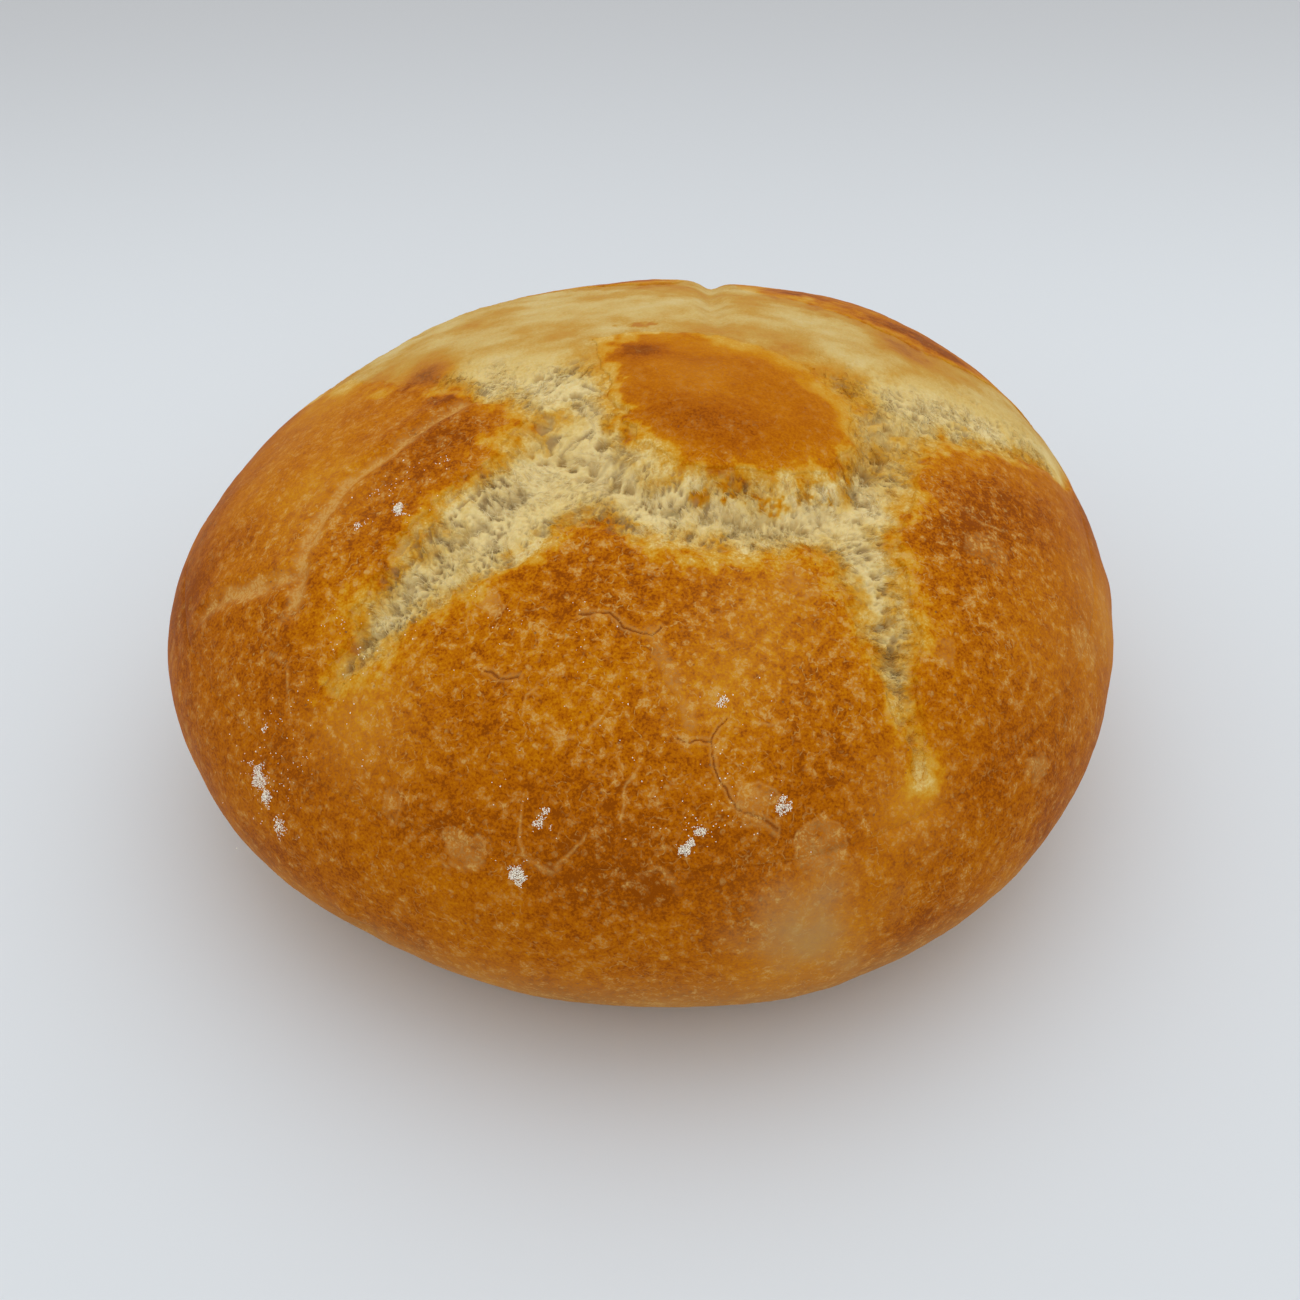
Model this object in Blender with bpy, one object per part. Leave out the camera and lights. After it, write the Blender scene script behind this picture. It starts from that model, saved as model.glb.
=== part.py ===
# A round bread roll with a star torn open in its crust round a browned island.
# Metres, +Z up, +X along the longest side. The origin is the centre of the flat base.

import bpy
import bmesh
from math import atan2, cos, exp, hypot, pi, sin, tan
from mathutils import Vector

NAME = "bread_roll"

# overall size
WIDTH = 0.110           # along X
DEPTH = 0.106           # along Y
HEIGHT = 0.055          # flat base to the top of the dome

# body of revolution before the relief
GIRTH_HEIGHT = 0.0222   # height of the widest line
DOME_RISE = 0.0330      # from the widest line to the top
DOME_POWER = 1.88       # 2 is an ellipse, less is more pointed
BASE_DROP = 0.0291      # how deep the underside would reach if it were not flat
BASE_POWER = 2.27
BASE_ROUNDING = 0.0012  # softens the edge of the flat base
LOPSIDED = {"sin1": 0.029, "sin2": 0.014, "cos3": -0.024}   # how far the outline is from an ellipse

# the torn star, in plan: points along each tear with half the tear's width there, in mm
TEARS = {
    "left_front": {"depth": 1.3, "path": ((-8, -9, 8), (-17, -15.5, 6.6), (-23.5, -19.8, 5.2),
                                          (-29, -24, 3.6), (-34, -28.6, 0.8))},
    "right_front": {"depth": 1.4, "path": ((21, -16, 5.5), (23.3, -23, 3.9), (24.5, -29, 2.9),
                                           (26, -34.5, 1.7), (27.3, -39.5, 0.4))},
    "collar": {"depth": 2.0, "path": ((-8, -11, 6), (0, -14.5, 5.8), (9, -16, 6), (17, -15, 5.6),
                                      (24, -9, 4.6), (26, -1, 4.6))},
    "right": {"depth": 0.7, "path": ((25, 4, 6.5), (31, 9, 8), (38, 13, 8.5), (45, 16, 7.5), (56, 20, 6))},
    "back": {"depth": 0.5, "path": ((8, 14, 7), (8, 22, 6), (8, 29, 4.5), (8, 37, 3), (8, 50, 2))},
    "back_left": {"depth": 0.25, "path": ((-6, 5, 9), (-13, 12, 10), (-22, 20, 9.5), (-32, 29, 8.5),
                                          (-44, 38, 7))},
    "back_rim": {"depth": 0.1, "path": ((-2, 24, 8), (-14, 28, 9), (-26, 32, 8))},
    "back_fill": {"depth": 0.3, "path": ((-10, 18, 10), (2, 22, 8.5), (16, 19, 9.5), (27, 15, 8))},
}
# outline of the browned cap the tears run round, in mm
ISLAND = ((-5.5, 12.6), (1, 13.6), (9, 12.6), (15.5, 9.6), (22.6, 2.5), (22.4, -5), (19, -9.5), (12, -11),
          (4, -10.2), (-0.6, -6.6), (-3.4, -0.5), (-4.6, 5))
NOTCH = ((8.4, 50, 0), (8.2, 38, 0), (7.7, 28, 0), (8, 20, 0), (8.1, 15, 0))    # a crease over the back
NOTCH_DEPTH = 0.0009
NOTCH_WIDTH = 0.0015
# gentle swells of the top: middle in mm, size in mm, height in mm
SWELLS = (((-22, 34, 43), 12, 0.8), ((13, 37, 43), 7, -0.6), ((-42, 10, 38), 8, -0.5))
SHOULDER = 0.0009       # how far the crust falls as it nears a tear
SHOULDER_LENGTH = 0.010
CRUMB_DROP = 0.00022    # step from crust down to crumb at a torn edge
TEAR_WALL = 0.0030      # distance in which a tear reaches its depth
MM = 0.001

TOP_SHARE = 0.64        # part of the mesh that lies above the widest line
GRID = 28               # squares along each edge of the starting cube


def blend(low, high, value):
    # smooth step: 0 at low, 1 at high
    t = min(max((value - low) / (high - low), 0.0), 1.0)
    return t * t * (3 - 2 * t)


def soft_min(a, b, radius):
    h = max(radius - abs(a - b), 0.0) / radius
    return min(a, b) - h * h * radius / 4


def soft_max(a, b, radius):
    return -soft_min(-a, -b, radius)


def outline(angle):
    # distance from the centre to the widest line, in plan
    ellipse = 1 / hypot(cos(angle) / (WIDTH / 2), sin(angle) / (DEPTH / 2))
    return ellipse * (1 + LOPSIDED["sin1"] * sin(angle) + LOPSIDED["sin2"] * sin(2 * angle)
                      + LOPSIDED["cos3"] * cos(3 * angle))


def body_point(direction):
    # a point of the smooth body for a direction on the unit sphere
    angle = atan2(direction.y, direction.x)
    share = atan2(hypot(direction.x, direction.y), direction.z) / pi    # 0 at the top, 1 underneath
    if share < TOP_SHARE:
        turn = share / TOP_SHARE * pi / 2
        spread = sin(turn) ** (2 / DOME_POWER)
        z = GIRTH_HEIGHT + DOME_RISE * max(cos(turn), 0.0) ** (2 / DOME_POWER)
    else:
        turn = (share - TOP_SHARE) / (1 - TOP_SHARE) * pi / 2
        spread = max(cos(turn), 0.0) ** (2 / BASE_POWER)
        z = GIRTH_HEIGHT - BASE_DROP * sin(turn) ** (2 / BASE_POWER)
        z = soft_max(z, 0.0, 2 * BASE_ROUNDING)
    reach = outline(angle) * spread
    return Vector((reach * cos(angle), reach * sin(angle), z))


def outward(point):
    # direction in which the relief moves a point
    return Vector((point.x / (WIDTH / 2) ** 2, point.y / (DEPTH / 2) ** 2,
                   (point.z - GIRTH_HEIGHT) / DOME_RISE ** 2)).normalized()


def path_gap(point, path):
    # distance outside a tapered path, negative inside it
    best = 1.0
    for (ax, ay, a_half), (bx, by, b_half) in zip(path, path[1:]):
        run_x, run_y = (bx - ax) * MM, (by - ay) * MM
        off_x, off_y = point.x - ax * MM, point.y - ay * MM
        share = (off_x * run_x + off_y * run_y) / (run_x ** 2 + run_y ** 2)
        share = min(max(share, 0.0), 1.0)
        half = (a_half + (b_half - a_half) * share) * MM
        best = soft_min(best, hypot(off_x - share * run_x, off_y - share * run_y) - half, 0.8 * MM)
    return best


def area_gap(point, corners):
    # distance outside a closed shape, negative inside it
    inside = False
    for (ax, ay), (bx, by) in zip(corners, corners[1:] + corners[:1]):
        if (ay * MM > point.y) != (by * MM > point.y):
            if point.x < ((bx - ax) * (point.y / MM - ay) / (by - ay) + ax) * MM:
                inside = not inside
    gap = path_gap(point, [(x, y, 0) for x, y in corners + corners[:1]])
    return -max(gap, 0.0) if inside else max(gap, 0.0)


def back_share(point):
    # 1 over the smooth back of the roll, 0 over its ragged front
    return blend(0.0, 0.012, point.y - 0.20 * abs(point.x - 0.006))


def relief(point):
    # height of the real surface over the smooth body
    inside = area_gap(point, ISLAND)
    gap, depth, total = 1.0, 0.0, 1e-6
    for tear in TEARS.values():
        own = path_gap(point, tear["path"])
        weight = exp(-max(own, 0.0) / 0.0015) * min(max(-own / 0.004, 0.05), 1.0)
        depth += tear["depth"] * MM * weight
        total += weight
        gap = soft_min(gap, own, 0.003)
    edge = max(gap, -inside)
    on_island = blend(0.002, -0.006, inside)
    back = back_share(point)
    height = -SHOULDER * (1 - 0.8 * back) * exp(-max(gap, 0.0) / SHOULDER_LENGTH) * (1 - on_island * 0.8)
    crease = max(path_gap(point, NOTCH), 0.0)
    height -= NOTCH_DEPTH * exp(-(crease / NOTCH_WIDTH) ** 2) * blend(0.012, 0.020, point.y)
    for middle, size, swell in SWELLS:
        height += swell * MM * exp(-((point - Vector(middle) * MM).length / size / MM) ** 2)
    if edge < 0:
        shallow = 1 - 0.75 * blend(-0.006, 0.006, point.y)
        height -= CRUMB_DROP * (1 - 0.5 * back) + depth / total * (1 - exp(edge / TEAR_WALL)) * shallow
    return height * blend(GIRTH_HEIGHT - 0.002, GIRTH_HEIGHT + 0.012, point.z)


def shaped_cube():
    # a gridded cube whose points are moved onto the roll's surface
    mesh = bmesh.new()
    bmesh.ops.create_cube(mesh, size=2.0)
    bmesh.ops.subdivide_edges(mesh, edges=mesh.edges[:], cuts=GRID - 1, use_grid_fill=True)
    for vert in mesh.verts:
        even = Vector([tan(c * pi / 4) for c in vert.co])
        point = body_point(even.normalized())
        if point.z > GIRTH_HEIGHT - 0.002:
            point += outward(point) * relief(point)
        vert.co = point
    return mesh


def fit_to_size(mesh):
    # centre the plan on the origin and bring each side to its stated length
    sizes = (WIDTH, DEPTH, HEIGHT)
    for axis in range(3):
        low = min(vert.co[axis] for vert in mesh.verts)
        high = max(vert.co[axis] for vert in mesh.verts)
        start = 0.0 if axis == 2 else -sizes[axis] / 2
        for vert in mesh.verts:
            vert.co[axis] = start + (vert.co[axis] - low) * sizes[axis] / (high - low)


def crust_material():
    material = bpy.data.materials.new("crust")
    material.use_nodes = True
    shader = material.node_tree.nodes["Principled BSDF"]
    shader.inputs["Base Color"].default_value = (0.42, 0.165, 0.022, 1)
    shader.inputs["Roughness"].default_value = 0.55
    shader.inputs["Metallic"].default_value = 0.0
    return material


def build():
    for old in list(bpy.data.objects):
        bpy.data.objects.remove(old, do_unlink=True)
    group = bpy.data.collections.new(NAME)
    bpy.context.scene.collection.children.link(group)

    shape = shaped_cube()
    fit_to_size(shape)
    bmesh.ops.triangulate(shape, faces=shape.faces[:])
    bmesh.ops.recalc_face_normals(shape, faces=shape.faces[:])
    mesh = bpy.data.meshes.new(NAME)
    shape.to_mesh(mesh)
    shape.free()
    mesh.shade_smooth()
    mesh.materials.append(crust_material())

    roll = bpy.data.objects.new(NAME, mesh)
    group.objects.link(roll)


build()
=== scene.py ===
import math
import bpy
import bmesh
import numpy as np
from mathutils import Matrix, Vector


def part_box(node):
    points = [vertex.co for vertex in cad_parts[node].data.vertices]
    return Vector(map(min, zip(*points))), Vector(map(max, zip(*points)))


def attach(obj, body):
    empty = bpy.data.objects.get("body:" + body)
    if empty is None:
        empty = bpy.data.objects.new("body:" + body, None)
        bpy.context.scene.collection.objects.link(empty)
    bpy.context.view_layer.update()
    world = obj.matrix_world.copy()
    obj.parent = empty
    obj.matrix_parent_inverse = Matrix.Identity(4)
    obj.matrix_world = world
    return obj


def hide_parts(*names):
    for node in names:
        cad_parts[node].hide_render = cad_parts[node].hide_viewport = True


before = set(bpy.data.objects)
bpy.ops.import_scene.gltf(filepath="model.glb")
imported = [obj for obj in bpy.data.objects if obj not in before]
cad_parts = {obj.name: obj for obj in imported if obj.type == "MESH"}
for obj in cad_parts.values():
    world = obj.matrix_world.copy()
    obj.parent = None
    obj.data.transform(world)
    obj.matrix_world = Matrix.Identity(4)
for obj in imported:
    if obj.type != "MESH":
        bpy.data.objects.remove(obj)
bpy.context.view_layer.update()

mm = 0.001
boxLow, boxHigh = (np.array(corner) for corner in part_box("bread_roll"))
side = boxHigh - boxLow


# small numpy helpers; lengths are metres, a point array has one row a point

def step(low, high, value):      # smooth 0 to 1 between low and high
    t = np.clip((value - low) / (high - low), 0.0, 1.0)
    return t * t * (3 - 2 * t)


def softMin(a, b, radius):
    h = np.maximum(radius - np.abs(a - b), 0.0) / radius
    return np.minimum(a, b) - h * h * radius / 4


def hashCells(cells, seed, count=1):   # the same numbers in 0..1 for the same whole cell, every run
    c = cells.astype(np.int64).astype(np.uint32)
    out = np.empty(c.shape[:-1] + (count,))
    for k in range(count):
        h = c[..., 0] * np.uint32(73856093) ^ c[..., 1] * np.uint32(19349663)
        h = h ^ c[..., 2] * np.uint32(83492791) ^ np.uint32(seed * 7919 + k * 104729 + 17)
        for _ in range(2):
            h = (h ^ (h >> np.uint32(15))) * np.uint32(2246822519)
            h = (h ^ (h >> np.uint32(13))) * np.uint32(3266489917)
        out[..., k] = (h ^ (h >> np.uint32(16))) / 4294967295.0
    return out


def noise(p, size, seed=0):      # smooth value noise, -1 to 1
    q = p / size
    cell = np.floor(q)
    f = q - cell
    f = f * f * f * (f * (f * 6 - 15) + 10)
    total = 0
    for corner in np.ndindex(2, 2, 2):
        weight = np.ones(len(p))
        for k in range(3):
            weight = weight * (f[:, k] if corner[k] else 1 - f[:, k])
        total = total + weight * hashCells(cell + corner, seed)[:, 0]
    return total * 2 - 1


def fractal(p, size, octaves=3, seed=0):
    return sum(noise(p, size / 2 ** k, seed + k) * 0.5 ** k for k in range(octaves))


def cellGap(p, seed=0):          # flat cells: distance to the nearest two seeds of a jittered grid
    cell = np.floor(p)
    near = np.full(len(p), 9.0)
    second = np.full(len(p), 9.0)
    for dx, dy in np.ndindex(3, 3):
        corner = cell + (dx - 1, dy - 1)
        jitter = hashCells(np.column_stack([corner, np.zeros(len(p))]), seed, 2)
        d = np.hypot(*(corner + 0.1 + 0.8 * jitter - p).T)
        second = np.minimum(second, np.maximum(near, d))
        near = np.minimum(near, d)
    return near, second


# the smooth body, the same rule as the solid it replaces

body = {
    "girthHeight": 0.0222, "domeRise": 0.0330, "domePower": 1.88,
    "baseDrop": 0.0291, "basePower": 2.27, "baseRounding": 0.0012,
    "sin1": 0.029, "sin2": 0.014, "cos3": -0.024,    # how far the outline is from an ellipse
    "topShare": 0.64,
}


def outline(angle):
    ellipse = 1 / np.hypot(np.cos(angle) / (side[0] / 2), np.sin(angle) / (side[1] / 2))
    return ellipse * (1 + body["sin1"] * np.sin(angle) + body["sin2"] * np.sin(2 * angle)
                      + body["cos3"] * np.cos(3 * angle))


def bodyPoints(direction):       # from directions on the unit ball to the smooth body
    angle = np.arctan2(direction[:, 1], direction[:, 0])
    share = np.arctan2(np.hypot(direction[:, 0], direction[:, 1]), direction[:, 2]) / math.pi
    top = share < body["topShare"]
    turn = np.where(top, share / body["topShare"],
                    (share - body["topShare"]) / (1 - body["topShare"])) * math.pi / 2
    cosTurn, sinTurn = np.maximum(np.cos(turn), 0), np.maximum(np.sin(turn), 0)
    spread = np.where(top, sinTurn ** (2 / body["domePower"]), cosTurn ** (2 / body["basePower"]))
    under = body["girthHeight"] - body["baseDrop"] * sinTurn ** (2 / body["basePower"])
    under = -softMin(-under, 0 * under, 2 * body["baseRounding"])
    z = np.where(top, body["girthHeight"] + body["domeRise"] * cosTurn ** (2 / body["domePower"]), under)
    reach = outline(angle) * spread
    return np.column_stack([reach * np.cos(angle), reach * np.sin(angle), z])


def domePoints(x, y):            # the upper surface straight above a plan position
    q = np.clip(np.hypot(x, y) / outline(np.arctan2(y, x)), 0, 0.9999)
    rise = (1 - q ** body["domePower"]) ** (1 / body["domePower"])
    return np.column_stack([x, y, body["girthHeight"] + body["domeRise"] * rise]), q


def outward(p):
    n = p / (np.array([side[0], side[1], 2 * body["domeRise"]]) / 2) ** 2
    n[:, 2] = (p[:, 2] - body["girthHeight"]) / body["domeRise"] ** 2
    return n / np.linalg.norm(n, axis=1)[:, None]


# the torn star, in plan: points along each tear with half the tear's width there, in mm

star = {
    "tears": {
        "leftFront": {"depth": 1.3, "path": ((-8, -9, 8), (-17, -15.5, 6.6), (-23.5, -19.8, 5.2),
                                             (-29, -24, 3.6), (-34, -28.6, 0.8))},
        "rightFront": {"depth": 1.4, "path": ((21, -16, 5.5), (23.3, -23, 3.9), (24.5, -29, 2.9),
                                              (26, -34.5, 1.7), (27.3, -39.5, 0.4))},
        "collar": {"depth": 2.0, "path": ((-8, -11, 6), (0, -14.5, 5.8), (9, -16, 6), (17, -15, 5.6),
                                          (24, -9, 4.6), (26, -1, 4.6))},
        "right": {"depth": 0.7, "path": ((25, 4, 6.5), (31, 9, 8), (38, 13, 8.5), (45, 16, 7.5),
                                         (56, 20, 6))},
        "back": {"depth": 0.5, "path": ((8, 14, 7), (8, 22, 6), (8, 29, 4.5), (8, 37, 3), (8, 50, 2))},
        "backLeft": {"depth": 0.25, "path": ((-6, 5, 9), (-13, 12, 10), (-22, 20, 9.5), (-32, 29, 8.5),
                                             (-44, 38, 7))},
        "backRim": {"depth": 0.1, "path": ((-2, 24, 8), (-14, 28, 9), (-26, 32, 8))},
        "backFill": {"depth": 0.3, "path": ((-10, 18, 10), (2, 22, 8.5), (16, 19, 9.5), (27, 15, 8))},
    },
    "island": ((-5.5, 12.6), (1, 13.6), (9, 12.6), (15.5, 9.6), (22.6, 2.5), (22.4, -5), (19, -9.5),
               (12, -11), (4, -10.2), (-0.6, -6.6), (-3.4, -0.5), (-4.6, 5)),
    "shoulder": 0.9,          # the crust falls this far as it nears a tear
    "shoulderLength": 10,
    "edgeWobble": 0.8,        # how ragged the torn edge is
    "wall": 3.0,              # the distance in which a tear reaches its depth
    "drop": 0.22,             # from crust down to crumb at a torn edge
    "lip": 0.12,              # the crust curls up this much beside a tear
    "closing": (14, 12),      # tears narrow by this much over this height above the widest line
    "groove": ((-12, -6.5), (-7.5, -8.5), (-4, -11.2), (0, -14), (5.3, -16), (10, -17.2), (15, -17.2),
               (19.3, -15.8), (22.5, -11.5), (25, -4)),
    "grooveDepth": 0.9, "grooveWidth": 1.6,
    "bulges": (((-22, 34, 43), 12, 0.8), ((13, 37, 43), 7, -0.6),    # place, size, height
               ((-42, 10, 38), 8, -0.5)),
    "notchDepth": 0.9, "notchWidth": 1.5,
    "notch": ((8.4, 50), (8.2, 38), (7.7, 28), (8, 20), (8.1, 15)),
    "arms": (((-12, -10.5), (-20, -16.5), (-27, -22.4), (-33, -27.6)),
             ((22, -13), (23.8, -21), (25, -29), (26.8, -37)), ((26, -3), (31, 6), (37, 11.5))),
}


def lineGap(x, y, points):       # distance to a bent line given in mm
    best = np.full(len(x), 1.0)
    for (ax, ay), (bx, by) in zip(points, points[1:]):
        ax, ay, bx, by = ax * mm, ay * mm, bx * mm, by * mm
        t = np.clip(((x - ax) * (bx - ax) + (y - ay) * (by - ay)) / ((bx - ax) ** 2 + (by - ay) ** 2), 0, 1)
        best = np.minimum(best, np.hypot(x - ax - t * (bx - ax), y - ay - t * (by - ay)))
    return best


def areaGap(x, y, corners):      # distance outside a closed shape, under 0 inside it
    ring = corners + corners[:1]
    inside = np.zeros(len(x), bool)
    for (ax, ay), (bx, by) in zip(ring, ring[1:]):
        if ay != by:
            crosses = (ay * mm > y) != (by * mm > y)
            inside ^= crosses & (x < ((bx - ax) * (y / mm - ay) / (by - ay) + ax) * mm)
    return lineGap(x, y, ring) * np.where(inside, -1, 1)


def pathGap(x, y, path):         # distance outside a tapered path, with the place along and across it
    best = np.full(len(x), 1.0)
    along, across = np.zeros(len(x)), np.zeros(len(x))
    start = 0.0
    for (ax, ay, aw), (bx, by, bw) in zip(path, path[1:]):
        ax, ay, aw, bx, by, bw = (v * mm for v in (ax, ay, aw, bx, by, bw))
        length = math.hypot(bx - ax, by - ay)
        ux, uy = (bx - ax) / length, (by - ay) / length
        t = np.clip(((x - ax) * ux + (y - ay) * uy) / length, 0, 1)
        dx, dy = x - ax - t * length * ux, y - ay - t * length * uy
        gap = np.hypot(dx, dy) - (aw + (bw - aw) * t)
        hit = gap < best
        along = np.where(hit, start + t * length, along)
        across = np.where(hit, dy * ux - dx * uy, across)
        best = np.minimum(best, gap) if start == 0 else softMin(best, gap, 0.8 * mm)
        start += length
    return best, along, across


def starField(p):                # everything the surfaces need to know about the star
    x, y = p[:, 0], p[:, 1]
    inside = insideOf(p)
    gap, depth, total = np.full(len(x), 1.0), 0, 1e-6
    coords = []
    for tear in star["tears"].values():
        own, along, across = pathGap(x, y, tear["path"])
        weight = np.exp(-np.maximum(own, 0) / (1.5 * mm)) * np.clip(-own / (4 * mm), 0.05, 1)
        depth = depth + tear["depth"] * mm * weight
        total = total + weight
        gap = softMin(gap, own, 3 * mm)
        coords.append((own, along, across))
    narrower, height = star["closing"]
    gap = gap + narrower * mm * step(body["girthHeight"] + height * mm, body["girthHeight"], p[:, 2])
    return {"gap": gap, "inside": inside, "depth": depth / total, "coords": coords}


def insideOf(p):                 # distance outside the middle piece of crust
    return areaGap(p[:, 0], p[:, 1], star["island"])


def backOf(p):                   # 1 over the smooth back of the roll, 0 over its ragged front
    return step(0, 12 * mm, p[:, 1] - 0.20 * np.abs(p[:, 0] - 6 * mm))


def levels(p, field):            # heights over the smooth body: crust and crumb, before fine detail
    wobble = star["edgeWobble"] * mm * (fractal(p, 3.5 * mm, 2, 11) + 0.45 * fractal(p, 0.9 * mm, 2, 17))
    gap, inside = field["gap"] + wobble, field["inside"] + wobble * 0.8
    edge = np.maximum(gap, -inside)                       # over 0 on crust, under 0 in a tear
    fade = step(body["girthHeight"] - 2 * mm, body["girthHeight"] + 12 * mm, p[:, 2])
    back = backOf(p)
    fall = star["shoulder"] * mm * (1 - 0.8 * back)
    onIsland = step(2 * mm, -6 * mm, field["inside"])
    near = np.exp(-np.maximum(field["gap"], 0) / (star["shoulderLength"] * mm))
    shoulder = -fall * near * (1 - onIsland * 0.8)
    notch = np.exp(-(lineGap(p[:, 0], p[:, 1], star["notch"]) / (star["notchWidth"] * mm)) ** 2)
    shoulder = shoulder - star["notchDepth"] * mm * notch * step(12 * mm, 20 * mm, p[:, 1])
    for middle, size, height in star["bulges"]:
        away = np.linalg.norm(p - np.array(middle) * mm, axis=1)
        shoulder = shoulder + height * mm * np.exp(-(away / size / mm) ** 2)
    shallow = 1 - 0.75 * step(-6 * mm, 6 * mm, p[:, 1])
    dip = field["depth"] * (1 - np.exp(-np.maximum(-edge, 0) / (star["wall"] * mm))) * shallow
    groove = np.exp(-(lineGap(p[:, 0], p[:, 1], star["groove"]) / (star["grooveWidth"] * mm)) ** 2)
    dip = dip + star["grooveDepth"] * mm * groove * step(0, -2 * mm, edge)
    crumb = (shoulder - (star["drop"] - 0.1 * back) * mm - dip) * fade
    lip = star["lip"] * mm * np.exp(-((edge - 1.0 * mm) / (1.2 * mm)) ** 2) * (1 - back)
    crust = (shoulder + lip) * fade
    return crust, crumb, edge


# shader helpers

class Wire:                      # a node's output; arithmetic on it adds Math nodes
    def __init__(self, socket):
        self.socket = socket

    def node(self, kind, settings=None, values=None, out=0):
        tree = self.socket.id_data
        made = tree.nodes.new(kind)
        for name, value in (settings or {}).items():
            if name == "stops":
                ramp = made.color_ramp.elements
                while len(ramp) < len(value):
                    ramp.new(1.0)
                for stop, (place, colour) in zip(ramp, value):
                    stop.position = place
                    stop.color = (*colour, 1.0)
            else:
                setattr(made, name, value)
        for key, value in (values or {}).items():
            target = made.inputs[key]
            if isinstance(value, Wire):
                tree.links.new(value.socket, target)
            else:
                target.default_value = value
        return Wire(made.outputs[out])

    def maths(self, operation, *others):
        values = {0: self, **{k + 1: other for k, other in enumerate(others)}}
        return self.node("ShaderNodeMath", {"operation": operation}, values)

    def __add__(self, other):
        return self.maths("ADD", other)

    def __mul__(self, other):
        return self.maths("MULTIPLY", other)

    def __sub__(self, other):
        return self.maths("SUBTRACT", other)

    def __rsub__(self, other):
        return (self * -1.0).maths("ADD", other)

    __radd__, __rmul__ = __add__, __mul__

    def ramp(self, low, high, first=0.0, last=1.0):      # smooth map of a value from low..high to first..last
        return self.node("ShaderNodeMapRange", {"interpolation_type": "SMOOTHSTEP"},
                         {0: self, 1: low, 2: high, 3: first, 4: last})

    def mixTo(self, colour, factor):
        return self.node("ShaderNodeMix", {"data_type": "RGBA"}, {0: factor, 6: self, 7: colour}, 2)

    def between(self, first, last):                      # from one set colour to another
        return self.node("ShaderNodeMix", {"data_type": "RGBA"}, {0: self, 6: (*first, 1), 7: (*last, 1)}, 2)

    def grain(self, size, detail=3.0, rough=0.55, shift=0.0):    # noise with features of a given size
        place = self
        if shift:
            place = self.node("ShaderNodeVectorMath", {"operation": "ADD"}, {0: self, 1: (shift,) * 3})
        values = {0: place, "Scale": 1 / size, "Detail": detail, "Roughness": rough}
        return place.node("ShaderNodeTexNoise", {}, values)

    def cells(self, size):                               # distance to the nearest of scattered points
        return self.node("ShaderNodeTexVoronoi", {}, {"Vector": self, "Scale": 1 / size})

    def warp(self, size, amount):                        # pushes a pattern about so that it isn't regular
        swirl = self.node("ShaderNodeTexNoise", {}, {0: self, "Scale": 1 / size, "Detail": 2.0}, "Color")
        swirl = swirl.node("ShaderNodeVectorMath", {"operation": "SUBTRACT"}, {0: swirl, 1: (0.5, 0.5, 0.5)})
        return self.node("ShaderNodeVectorMath", {"operation": "MULTIPLY_ADD"},
                         {0: swirl, 1: (amount,) * 3, 2: self})


def tone(red, green, blue, share=1.0):       # a screen colour 0..255 as a linear one
    return tuple(share * (c / 255 / 12.92 if c <= 10 else ((c / 255 + 0.055) / 1.055) ** 2.4)
                 for c in (red, green, blue))


def startMaterial(name):
    material = bpy.data.materials.new(name)
    material.use_nodes = True
    tree = material.node_tree
    shader = tree.nodes["Principled BSDF"]
    coords = Wire(tree.nodes.new("ShaderNodeTexCoord").outputs["Object"])
    return material, shader, coords


def stored(coords, name):
    return coords.node("ShaderNodeAttribute", {"attribute_name": name}, {}, "Fac")


def connect(shader, name, wire):
    shader.id_data.links.new(wire.socket, shader.inputs[name])


def bumped(shader, height, strength, distance):
    made = height.node("ShaderNodeBump", {}, {"Height": height, "Strength": strength, "Distance": distance})
    connect(shader, "Normal", made)


look = {
    "bake": [                  # from crumb to the darkest crust
        (0.00, tone(236, 214, 154)), (0.16, tone(227, 195, 116)), (0.34, tone(212, 160, 58)),
        (0.52, tone(206, 138, 14)), (0.68, tone(194, 115, 0)), (0.84, tone(172, 91, 0)),
        (1.00, tone(112, 46, 0))],
    "tan": tone(212, 162, 86),
    "cloud": 7 * mm, "patch": 3.4 * mm, "blotch": 1.35 * mm, "fine": 0.30 * mm,    # sizes of the mottling
    "vein": 1.7 * mm, "rice": 1.7 * mm, "pinhole": 2.6 * mm,
    # grey-brown mixed in: painted shade in the crumb's pores, holes and pockets and in the crust's pinholes;
    # on the crust also its own duller grey on the dull patch, on the torn back and towards the bottom
    "pit": tone(168, 140, 96),
    "strand": [tone(244, 227, 176), tone(234, 206, 130)],      # crumb threads painted lighter: a painted highlight on the thin threads
}


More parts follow.
